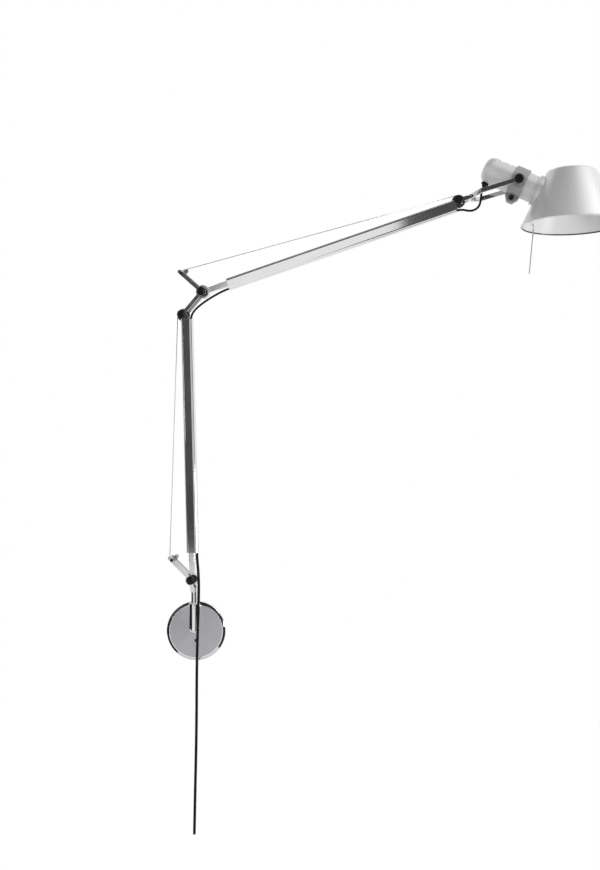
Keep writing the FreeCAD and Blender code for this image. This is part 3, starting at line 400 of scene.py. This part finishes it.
ROSE_PAINT = rose_finish()
PIN_FINISH = pin_finish()

# %% [markdown]
# ## Dressing the model's own pieces
# Every piece keeps its shape and gets its finish through its material slot. The cords, the wires
# and the springs are missing here, because the cells below make them anew.

# %% Give each piece its finish
DRESS = {
    ROSE_PAINT: ["wall_rose"],
    GREY_PAINT: ["head_housing"],
    SHADED_CLAMP_SPRAY: ["clamp_ring"],
    LOWER_ALLOY: ["lower_arm_tube"],
    UPPER_ALLOY: ["upper_arm_tube"],
    END_ALLOY: [
        "lower_arm_near_end",
        "lower_arm_far_end",
        "upper_arm_near_end",
        "upper_arm_far_end",
    ],
    PIN_FINISH: ["foot_lever_pin", "elbow_lever_pin"],
    BRIGHT: ["bracket", "swivel_ring", "handle_rod"],
    BLACK_SCREW: ["clamp_screw", "rose_screw"],
    STEEL: [
        "wall_plate",
        "bracket_stud",
        "foot_axle",
        "foot_nut",
        "elbow_lower_axle",
        "elbow_upper_axle",
        "elbow_nuts",
        "head_link_axle",
        "head_link_nut",
        "tilt_pins",
        "swivel_screw",
        "shade_ring_nut",
    ],
    LINK_ALLOY: ["foot_fork", "elbow_plate_front", "elbow_plate_rear", "head_link", "head_fork"],
    BLACK_KNOB: [
        "foot_knob",
        "elbow_lower_knob",
        "elbow_upper_knob",
        "head_link_knob",
        "tilt_knob",
        "cable_gland",
        "handle_sleeve",
    ],
    PULLEY_NYLON: ["lower_arm_pulley", "upper_arm_pulley"],
    CORD_SHEATH: ["lower_arm_cable", "upper_arm_cable"],
    BUSH_NYLON: ["swivel_bush"],
    CERAMIC: ["lamp_holder"],
    REFLECTOR: ["shade"],
    WIRE_STEEL: ["lower_arm_inner_wire", "upper_arm_inner_wire"],
}
for finish, names in DRESS.items():
    for name in names:
        slots = NODES[name].data.materials
        slots.clear()
        slots.append(finish)
print("dressed", sum(len(names) for names in DRESS.values()), "pieces")

# %% [markdown]
# ## The arms' plane
# The whole lamp is swung 9 degrees about the bracket. Points of the arms are easiest to write in
# that swung plane, as (along, into the wall, up), and one small function brings them to the room.

# %% From the arms' plane to the room
def swung(a, b, z):
    x = a * math.cos(SWING) + b * math.sin(SWING)
    y = -STANDOFF - a * math.sin(SWING) + b * math.cos(SWING)
    return Vector((x, y, z))


def finish_piece(made, body, finish, stands_for=()):
    """One finished piece: its material, its body and the pieces that it stands for."""
    made.data.materials.clear()
    made.data.materials.append(finish)
    if body:
        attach(made, body)
    if stands_for:
        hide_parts(*stands_for)
    return made


def smooth(mesh):
    mesh.polygons.foreach_set("use_smooth", [True] * len(mesh.polygons))


def mesh_object(name, verts, faces):
    mesh = bpy.data.meshes.new(name)
    mesh.from_pydata([tuple(v) for v in verts], [], faces)
    smooth(mesh)
    made = bpy.data.objects.new(name, mesh)
    bpy.context.scene.collection.objects.link(made)
    return made


# %% [markdown]
# ## Eased edges
# No sheet or casting leaves the workshop with a knife edge. The model's pieces have sharp edges, so
# each link, lever and casting is copied, its loose triangles are merged back to flat faces, and a
# Bevel modifier rounds every edge by a few tenths of a millimetre. That thin round catches the
# light along its whole length, which is how the eye reads thin metal. Weighted normals keep the
# wide faces flat in the shading, so only the rounds turn the light.


# %% A copy of a piece with eased edges
def as_mesh(maker):
    """The evaluated object as plain mesh data."""
    graph = bpy.context.evaluated_depsgraph_get()
    return bpy.data.meshes.new_from_object(maker.evaluated_get(graph))


MERGE_DISTANCE = 0.004 * MM
FLAT_ANGLE, EDGE_ANGLE = math.radians(1.5), math.radians(28)


def eased(node, width):
    source = NODES[node].data
    shell = bmesh.new()
    shell.from_mesh(source)
    bmesh.ops.remove_doubles(shell, verts=shell.verts, dist=MERGE_DISTANCE)
    bmesh.ops.dissolve_limit(shell, angle_limit=FLAT_ANGLE, verts=shell.verts, edges=shell.edges)
    mesh = bpy.data.meshes.new(node + "_eased")
    shell.to_mesh(mesh)
    shell.free()
    smooth(mesh)
    made = bpy.data.objects.new(node + "_eased", mesh)
    bpy.context.scene.collection.objects.link(made)
    bevel = made.modifiers.new("ease", "BEVEL")
    bevel.width = width
    bevel.segments = 2
    bevel.limit_method = "ANGLE"
    bevel.angle_limit = EDGE_ANGLE
    weigh = made.modifiers.new("weigh", "WEIGHTED_NORMAL")
    weigh.mode = "FACE_AREA"
    weigh.weight = 100
    made.data = as_mesh(made)
    made.modifiers.clear()
    bpy.data.meshes.remove(mesh)
    finish_piece(made, BODY_OF[node], source.materials[0], (node,))
    return made


BODY_OF = {n: b for b, names in frame["record"]["behaviour"]["bodies"].items() for n in names}
EASED_MM = {
    "wall_rose": 0.8,
    "bracket": 0.5,
    "foot_fork": 0.7,
    "foot_lever_pin": 0.4,
    "lower_arm_near_end": 0.7,
    "lower_arm_far_end": 0.6,
    "elbow_plate_front": 0.7,
    "elbow_plate_rear": 0.7,
    "elbow_lever_pin": 0.4,
    "upper_arm_near_end": 0.7,
    "upper_arm_far_end": 0.6,
    "head_link": 0.7,
    "head_fork": 0.8,
    "clamp_ring": 0.8,
}
faces_made = [len(eased(node, width * MM).data.polygons) for node, width in EASED_MM.items()]
print("eased faces", sum(faces_made))

# %% [markdown]
# ## The balance wires
# Each arm's wire runs straight from the lever's spool to the pulley. When the arm swings, one end
# stays with the lever and the other goes with the arm. The wire is made as a straight tube with
# vertices only at its two ends, and it is tied to neither body. Its ends are measured on the
# model's own wire.


# %% Straight wires between lever and pulley
def wire_ends(node):
    """The centres of the two end faces of a straight round piece."""
    points = [v.co.copy() for v in NODES[node].data.vertices]
    one = max(points, key=lambda p: (p - points[0]).length)
    other = max(points, key=lambda p: (p - one).length)
    along = (other - one).normalized()
    ends = []
    for tip, way in ((one, along), (other, -along)):
        near = {tuple(round(c, 6) for c in p) for p in points if (p - tip).dot(way) < 0.0005}
        ends.append(sum((Vector(p) for p in near), Vector()) / len(near))
    return ends


def ordered_ends(node, near):
    """The piece's two ends, the one nearer to a point first."""
    first, last = wire_ends(node)
    return (first, last) if (near - first).length <= (near - last).length else (last, first)


WIRE_RADIUS, WIRE_SIDES = 0.0007, 12


def balance_wire(name, node, near):
    first, last = ordered_ends(node, near)
    along = (last - first).normalized()
    side = along.cross(Vector((0, 0, 1))).normalized()
    up = side.cross(along)
    count = WIRE_SIDES
    verts = []
    for end in (first, last):
        for i in range(count):
            turn = 2 * math.pi * i / count
            verts.append(end + (side * math.cos(turn) + up * math.sin(turn)) * WIRE_RADIUS)
    faces = [(i, (i + 1) % count, count + (i + 1) % count, count + i) for i in range(count)]
    faces = [tuple(reversed(face)) for face in faces]
    faces += [tuple(range(count)), tuple(reversed(range(count, 2 * count)))]
    made = mesh_object(name, verts, faces)
    finish_piece(made, None, WIRE_STEEL, (node,))
    first + along * 0.01
    last - along * 0.01
    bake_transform(made)
    print(name, "length", round((last - first).length, 4))


FOOT = swung(-0.0034, 0, 0.0983)
ELBOW_HIGH = swung(0.016176, 0, 0.614627)
balance_wire("lower_wire", "lower_arm_wire", FOOT)
balance_wire("upper_wire", "upper_arm_wire", ELBOW_HIGH)

# %% [markdown]
# ## The cables
# A cable is a smooth curve with a round section. The mains cord leaves the lower arm's plug, bends
# beside the bracket and hangs straight down under its own weight. Its points are the centres that
# the model's own cord was routed by. The bare end shows in the photograph, so it has no plug.


# %% A smooth curve through the arms' plane, made a tube
def centre_line(points):
    """The smooth curve of a route in the arms' plane, as a line of points."""
    data = bpy.data.curves.new("centre_line", "CURVE")
    data.dimensions = "3D"
    data.resolution_u = 10
    spline = data.splines.new("NURBS")
    spline.points.add(len(points) - 1)
    for place, point in zip(spline.points, points):
        place.co = (*swung(*point), 1.0)
    spline.order_u = 3
    spline.use_endpoint_u = True
    bare = bpy.data.objects.new("centre_line", data)
    bpy.context.scene.collection.objects.link(bare)
    mesh = as_mesh(bare)
    line = [v.co.copy() for v in mesh.vertices]
    bpy.data.objects.remove(bare)
    bpy.data.meshes.remove(mesh)
    bpy.data.curves.remove(data)
    return line


def tube(name, line, radius, sides=16):
    """A round tube along a line of points, with its ends closed."""
    verts, faces = [], []
    side = None
    for i, point in enumerate(line):
        along = (line[min(i + 1, len(line) - 1)] - line[max(i - 1, 0)]).normalized()
        if side is None:
            side = along.orthogonal().normalized()
        side = (side - along * side.dot(along)).normalized()
        up = along.cross(side)
        for k in range(sides):
            turn = 2 * math.pi * k / sides
            verts.append(point + (side * math.cos(turn) + up * math.sin(turn)) * radius)
    for i in range(len(line) - 1):
        for k in range(sides):
            a, b = i * sides + k, i * sides + (k + 1) % sides
            faces.append((a, b, b + sides, a + sides))
    faces.append(tuple(reversed(range(sides))))
    faces.append(tuple(range(len(verts) - sides, len(verts))))
    return mesh_object(name, verts, faces)


def length_of(line):
    return sum((b - a).length for a, b in zip(line, line[1:]))


def part_of(line, start, finish):
    """The stretch of a line between two shares of its length."""
    total, gone, kept = length_of(line), 0.0, []
    for a, b in zip(line, line[1:]):
        run = (b - a).length
        for share in (start, finish):
            mark = share * total
            if gone <= mark < gone + run:
                kept.append(a.lerp(b, (mark - gone) / run))
        if start * total < gone + run < finish * total:
            kept.append(b)
        gone += run
    if finish >= 1:
        kept.append(line[-1])
    return kept


CORD_RADIUS, CABLE_RADIUS = 0.0025, 0.0019
CORD_ROUTE = [
    (0.00451, 0.0, 0.14651),
    (0.0048, 0.0, 0.13451),
    (0.0088, -0.0066, 0.114),
    (0.0116, -0.0126, 0.084),
    (0.0109, -0.016, 0.036),
    (0.009, -0.018, -0.05),
    (0.009, -0.0194, -0.165),
    (0.0066, -0.0203, -0.28),
    (0.0052, -0.0204, -0.352),
]
cord_line = centre_line(CORD_ROUTE)
mains_cord = tube("mains_lead", cord_line, CORD_RADIUS)
finish_piece(mains_cord, None, CORD_SHEATH, ("mains_cord",))
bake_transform(mains_cord)
length_of(cord_line)
print("mains cord", round(length_of(cord_line), 4))

# %% [markdown]
# The two short cables cross more than one joint. A piece can bend across one joint only, so each
# cable is cut where it lies on the body between two joints, and its parts meet there.

# %% The cable round the elbow and the cable to the head
ELBOW_ROUTE = [
    (-0.00592, 0.0, 0.56636),
    (-0.00612, 0.0, 0.57436),
    (0.0046, 0.0, 0.5872),
    (0.02, 0.0, 0.5982),
    (0.038, 0.0, 0.6088),
    (0.05612, 0.0, 0.61755),
    (0.06471, 0.0, 0.62023),
]
HEAD_ROUTE = [
    (0.46564, 0.0, 0.74528),
    (0.47327, 0.0, 0.74766),
    (0.4916, 0.0, 0.743),
    (0.5046, 0.0, 0.7502),
    (0.5076, 0.0, 0.7646),
    (0.50854, 0.0, 0.77804),
    (0.51155, 0.0, 0.78435),
]


def cable_stretch(name, line, stands_for, with_pieces=None):
    made = tube(name, line, CABLE_RADIUS)
    finish_piece(made, None, CORD_SHEATH, stands_for)
    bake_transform(made)
    if with_pieces is not None:  # this only measures the line's length, which is thrown away
        length_of(line)
    print(name, round(length_of(line), 4))
    return made


ELBOW_SHARE, HEAD_SHARES = 0.35, (0.43, 0.57)
elbow_line = centre_line(ELBOW_ROUTE)
elbow_first = part_of(elbow_line, 0, ELBOW_SHARE)
elbow_last = part_of(elbow_line, ELBOW_SHARE, 1)
cable_stretch("elbow_cable_low", elbow_first, ("elbow_cable",), [])
cable_stretch("elbow_cable_high", elbow_last, ("elbow_cable",), [])
head_line = centre_line(HEAD_ROUTE)
head_first, head_last = part_of(head_line, 0, HEAD_SHARES[0]), part_of(head_line, HEAD_SHARES[1], 1)
head_middle = part_of(head_line, *HEAD_SHARES)
middle = cable_stretch("head_cable_middle", head_middle, ("head_cable",))
cable_stretch("head_cable_low", head_first, ("head_cable",), [middle])
cable_stretch("head_cable_high", head_last, ("head_cable",), [])

# %% [markdown]
# ## Springs and the socket's thread
# A spring and a screw thread follow the same rule: a circle swept along a helix. One Geometry
# Nodes tree makes both, with the turns, the radius and the height as named inputs, and it ends in
# Realize Instances and Set Material so that the result is plain mesh.


# %% A tree that winds a helix
def helix_tree():
    tree = bpy.data.node_groups.new("wind_helix", "GeometryNodeTree")
    face = tree.interface
    face.new_socket("Geometry", in_out="OUTPUT", socket_type="NodeSocketGeometry")
    sizes = (("Turns", 10.0), ("Radius", 0.004), ("Height", 0.1), ("Wire Radius", 0.0007))
    for name, size in sizes:
        made = face.new_socket(name, in_out="INPUT", socket_type="NodeSocketFloat")
        made.default_value = size
    for name, count in (("Steps", 16), ("Sides", 6)):
        made = face.new_socket(name, in_out="INPUT", socket_type="NodeSocketInt")
        made.default_value = count
    face.new_socket("Material", in_out="INPUT", socket_type="NodeSocketMaterial")
    nodes, links = tree.nodes, tree.links
    given, result = nodes.new("NodeGroupInput"), nodes.new("NodeGroupOutput")
    spiral = nodes.new("GeometryNodeCurveSpiral")
    links.new(given.outputs["Steps"], spiral.inputs["Resolution"])
    links.new(given.outputs["Turns"], spiral.inputs["Rotations"])
    links.new(given.outputs["Radius"], spiral.inputs["Start Radius"])
    links.new(given.outputs["Radius"], spiral.inputs["End Radius"])
    links.new(given.outputs["Height"], spiral.inputs["Height"])
    ring = nodes.new("GeometryNodeCurvePrimitiveCircle")
    links.new(given.outputs["Sides"], ring.inputs["Resolution"])
    links.new(given.outputs["Wire Radius"], ring.inputs["Radius"])
    sweep = nodes.new("GeometryNodeCurveToMesh")
    sweep.inputs["Fill Caps"].default_value = True
    links.new(spiral.outputs[0], sweep.inputs["Curve"])
    links.new(ring.outputs[0], sweep.inputs["Profile Curve"])
    real = nodes.new("GeometryNodeRealizeInstances")
    links.new(sweep.outputs[0], real.inputs[0])
    finish = nodes.new("GeometryNodeSetMaterial")
    links.new(real.outputs[0], finish.inputs["Geometry"])
    links.new(given.outputs["Material"], finish.inputs["Material"])
    links.new(finish.outputs[0], result.inputs[0])
    return tree


HELIX = helix_tree()


def wound(name, place, material, **sizes):
    """A helix with these sizes, as a plain mesh in the room."""
    host = bpy.data.objects.new(name, bpy.data.meshes.new(name))
    bpy.context.scene.collection.objects.link(host)
    maker = host.modifiers.new("wind", "NODES")
    maker.node_group = HELIX
    for item in HELIX.interface.items_tree:
        key = item.name.replace(" ", "_")
        if item.in_out == "INPUT" and key in sizes:
            maker[item.identifier] = sizes[key]
        if item.in_out == "INPUT" and item.name == "Material":
            maker[item.identifier] = material
    mesh = as_mesh(host)
    host.modifiers.remove(maker)
    old = host.data
    host.data = mesh
    bpy.data.meshes.remove(old)
    mesh.transform(place)
    smooth(mesh)
    return host


def line_frame(start, finish):
    """A frame at start whose Z runs to finish."""
    along = (finish - start).normalized()
    turn = Vector((0, 0, 1)).rotation_difference(along).to_matrix().to_4x4()
    return Matrix.Translation(start) @ turn


# %% Tension springs inside the arms
HOOK_LENGTH, COIL_LENGTH, ROD_RADIUS = 0.008, 0.205, 0.0009
COIL = {"Turns": 120.0, "Radius": 0.0041, "Wire_Radius": 0.0007, "Steps": 14, "Sides": 5}


def arm_spring(name, node, body, wire_end):
    """A close wound spring with the model's own length, and a hook rod at each end."""
    first, last = ordered_ends(node, wire_end)
    along = (last - first).normalized()
    start = first + along * HOOK_LENGTH
    coil = wound(name, line_frame(start, last), SPRING_STEEL, Height=COIL_LENGTH, **COIL)
    rods = [
        tube(name + "_hook", [first, start + along * 0.001], ROD_RADIUS, 8),
        tube(name + "_rod", [start + along * COIL_LENGTH, last], ROD_RADIUS, 8),
    ]
    shell = bmesh.new()
    for made in [coil] + rods:
        shell.from_mesh(made.data)
    shell.to_mesh(coil.data)
    shell.free()
    for made in rods:
        bpy.data.objects.remove(made)
    finish_piece(coil, body, SPRING_STEEL, (node,))
    print(name, len(coil.data.polygons), "faces")


arm_spring("lower_spring_coil", "lower_arm_spring", "lower_arm", wire_ends("lower_arm_wire")[1])
arm_spring("upper_spring_coil", "upper_arm_spring", "upper_arm", wire_ends("upper_arm_wire")[1])

# %% [markdown]
# The bulb screws into a thread of thin brass rolled inside the porcelain. It shows when someone
# looks up into the reflector.

# %% The socket's rolled thread and centre contact
HEAD_TILT = math.radians(25.5)
FORWARD = swung(math.cos(HEAD_TILT), 0, -math.sin(HEAD_TILT)) - swung(0, 0, 0)
COLLAR = swung(0.602993, 0, 0.773977)
THREAD_START, THREAD_LENGTH, CONTACT = 0.0095, 0.020, (0.0072, 0.0088)
ROLLED = {"Turns": 5.5, "Radius": 0.01275, "Wire_Radius": 0.0006, "Steps": 40, "Sides": 8}
thread_frame = line_frame(COLLAR + FORWARD * THREAD_START, COLLAR + FORWARD * 0.04)
thread = wound("socket_thread", thread_frame, SOCKET_BRASS, Height=THREAD_LENGTH, **ROLLED)
finish_piece(thread, "head", SOCKET_BRASS)
contact = tube("centre_contact", [COLLAR + FORWARD * depth for depth in CONTACT], 0.0042, 24)
finish_piece(contact, "head", SOCKET_BRASS)

# %% [markdown]
# ## The photograph's light
# The lamp hangs before a white background. The light is soft and comes mostly from the upper
# right, and the dark room behind the camera shows in the flat faces of the metal. A pale floor
# lies below the lowest reach of the head. Cards that only reflections see give the metal its dark
# bands.

# %% Camera at the photograph's viewpoint
scene = bpy.context.scene
view = bpy.data.cameras.new("portrait_camera")
view.sensor_width = 36
view.lens = 41.38
camera = bpy.data.objects.new("portrait_camera", view)
camera.location = (0.1899, -1.840, 0.358)
camera.rotation_euler = (math.radians(90), 0, 0)
scene.collection.objects.link(camera)
scene.camera = camera
scene.view_settings.view_transform = "Standard"


# %% Background, floor and lamps
LIGHT_STRENGTH, FLOOR = 0.62, -0.80


def white_world():
    """White wherever the camera or a mirror looks, and a softer light on the lamp itself."""
    world = bpy.data.worlds.new("white_room")
    scene.world = world
    world.use_nodes = True
    tree = world.node_tree
    tree.nodes.clear()
    out = tree.nodes.new("ShaderNodeOutputWorld")
    rays = tree.nodes.new("ShaderNodeLightPath")
    shown = rays.outputs["Is Camera Ray"]
    for kind in ("Is Glossy Ray", "Is Transmission Ray"):
        either = tree.nodes.new("ShaderNodeMath")
        either.operation = "MAXIMUM"
        tree.links.new(shown, either.inputs[0])
        tree.links.new(rays.outputs[kind], either.inputs[1])
        shown = either.outputs[0]
    pick = tree.nodes.new("ShaderNodeMixShader")
    tree.links.new(shown, pick.inputs[0])
    for place, strength in ((1, LIGHT_STRENGTH), (2, 1.0)):
        white = tree.nodes.new("ShaderNodeBackground")
        white.inputs["Color"].default_value = (1, 1, 1, 1)
        white.inputs["Strength"].default_value = strength
        tree.links.new(white.outputs[0], pick.inputs[place])
    tree.links.new(pick.outputs[0], out.inputs[0])


white_world()
corners = [(-3, -4, FLOOR), (4, -4, FLOOR), (4, 2.5, FLOOR), (-3, 2.5, FLOOR)]
floor = mesh_object("pale_floor", corners, [(0, 1, 2, 3)])
pale = Finish("pale_floor")
pale.set(Base_Color=grey(244), Roughness=0.7)
rays = pale.node("ShaderNodeLightPath", out="Is Camera Ray")
mirrored = pale.node("ShaderNodeLightPath", out="Is Glossy Ray")
glow = pale.node("ShaderNodeEmission", None, {"Color": (1, 1, 1, 1), "Strength": 1.065})
shown = (rays + mirrored).spread(0.0, 1.0, 0.0, 0.86)
mixed = pale.node("ShaderNodeMixShader", None, {0: shown, 2: glow})
pale.tree.links.new(pale.shader.outputs[0], mixed.socket.node.inputs[1])
pale.tree.links.new(mixed.socket, pale.tree.nodes["Material Output"].inputs["Surface"])
floor.data.materials.append(pale.material)


def soft_lamp(name, place, aim, size, power):
    data = bpy.data.lights.new(name, "AREA")
    data.shape = "RECTANGLE"
    data.size, data.size_y = size
    data.energy = power
    made = bpy.data.objects.new(name, data)
    made.location = place
    made.rotation_euler = (Vector(aim) - Vector(place)).to_track_quat("-Z", "Y").to_euler()
    scene.collection.objects.link(made)
    return made


soft_lamp("key_right", (2.3, -1.5, 1.9), (0.35, 0, 0.5), (1.2, 1.2), 36)
soft_lamp("low_right", (1.7, -0.9, 0.1), (0.6, -0.14, 0.76), (0.4, 0.4), 9)
soft_lamp("fill_left", (-1.6, -1.4, 1.0), (0.2, 0, 0.4), (0.5, 1.4), 8)


def reflected_only(made, level):
    """A dull card that only reflections see."""
    cloth = Finish(made.name)
    cloth.set(Base_Color=grey(level), Roughness=0.9)
    made.data.materials.append(cloth.material)
    made.visible_camera = False
    made.visible_diffuse = False
    made.visible_shadow = False
    made.visible_transmission = False
    return made


def dark_card(name, corners, level):
    return reflected_only(mesh_object(name, corners, [(0, 1, 2, 3)]), level)


def upright(start, finish, low, high):
    """The corners of an upright card between two points of the floor's plan."""
    (x0, y0), (x1, y1) = start, finish
    return [(x0, y0, low), (x1, y1, low), (x1, y1, high), (x0, y0, high)]


CEILING = 2.2
CARDS = {
    "card_camera": (78, (-0.175, -2.6), (0.55, -2.6), -0.4, CEILING),
    "card_left": (78, (-2.6, -2.2), (-1.02, -2.6), -0.20, CEILING),
    "card_low_left": (24, (-1.45, 0.9), (-1.6, -0.2), -0.45, -0.15),
    "card_low_front": (24, (-1.6, -0.2), (-1.15, -1.3), -0.45, -0.15),
    "card_side_strip": (24, (-1.62, 0.1), (-1.62, -0.25), -0.45, CEILING),
}
for name, (level, *edges) in CARDS.items():
    dark_card(name, upright(*edges), level)
plan = ((-1.62, -1.0), (0.9, -1.0), (0.9, 0.5), (-1.62, 0.5))
dark_card("card_above", [(x, y, CEILING) for x, y in plan], 120)

# %% [markdown]
# The rose's bevel is a ring of mirror. What each point of the ring sees follows the mirror law, so
# an arch laid along those directions shows in it as an even dark ring, as in the photograph. A
# pale arch closes the ring below, where the photograph shows grey.


# %% An arch that the bevel mirrors
BEVEL_OUT, BEVEL_BACK = 0.4926, -0.8703
ARCH_SPREAD, ARCH_REACH = (0.8, 1.3), 2.3


def mirrored(way, normal):
    return way - 2 * way.dot(normal) * normal


def arch_card(name, start, finish, steps, level):
    """An arch along the directions in which the bevel mirrors the camera, above the floor."""
    way = -camera.location.normalized()
    verts = []
    for i in range(steps + 1):
        turn = math.radians(start + (finish - start) * i / steps)
        for spread in ARCH_SPREAD:
            out = BEVEL_OUT * spread
            normal = Vector((math.sin(turn) * out, BEVEL_BACK, math.cos(turn) * out))
            ray = mirrored(way, normal.normalized())
            reach = min(ARCH_REACH, (-FLOOR - 0.02) / max(-ray.z, 0.01))
            verts.append(ray * reach)
    faces = [(2 * i, 2 * i + 1, 2 * i + 3, 2 * i + 2) for i in range(steps)]
    return reflected_only(mesh_object(name, verts, faces), level)


arch_card("card_arch", -140, 125, 40, 24)
arch_card("card_arch_low", 125, 220, 20, 226)
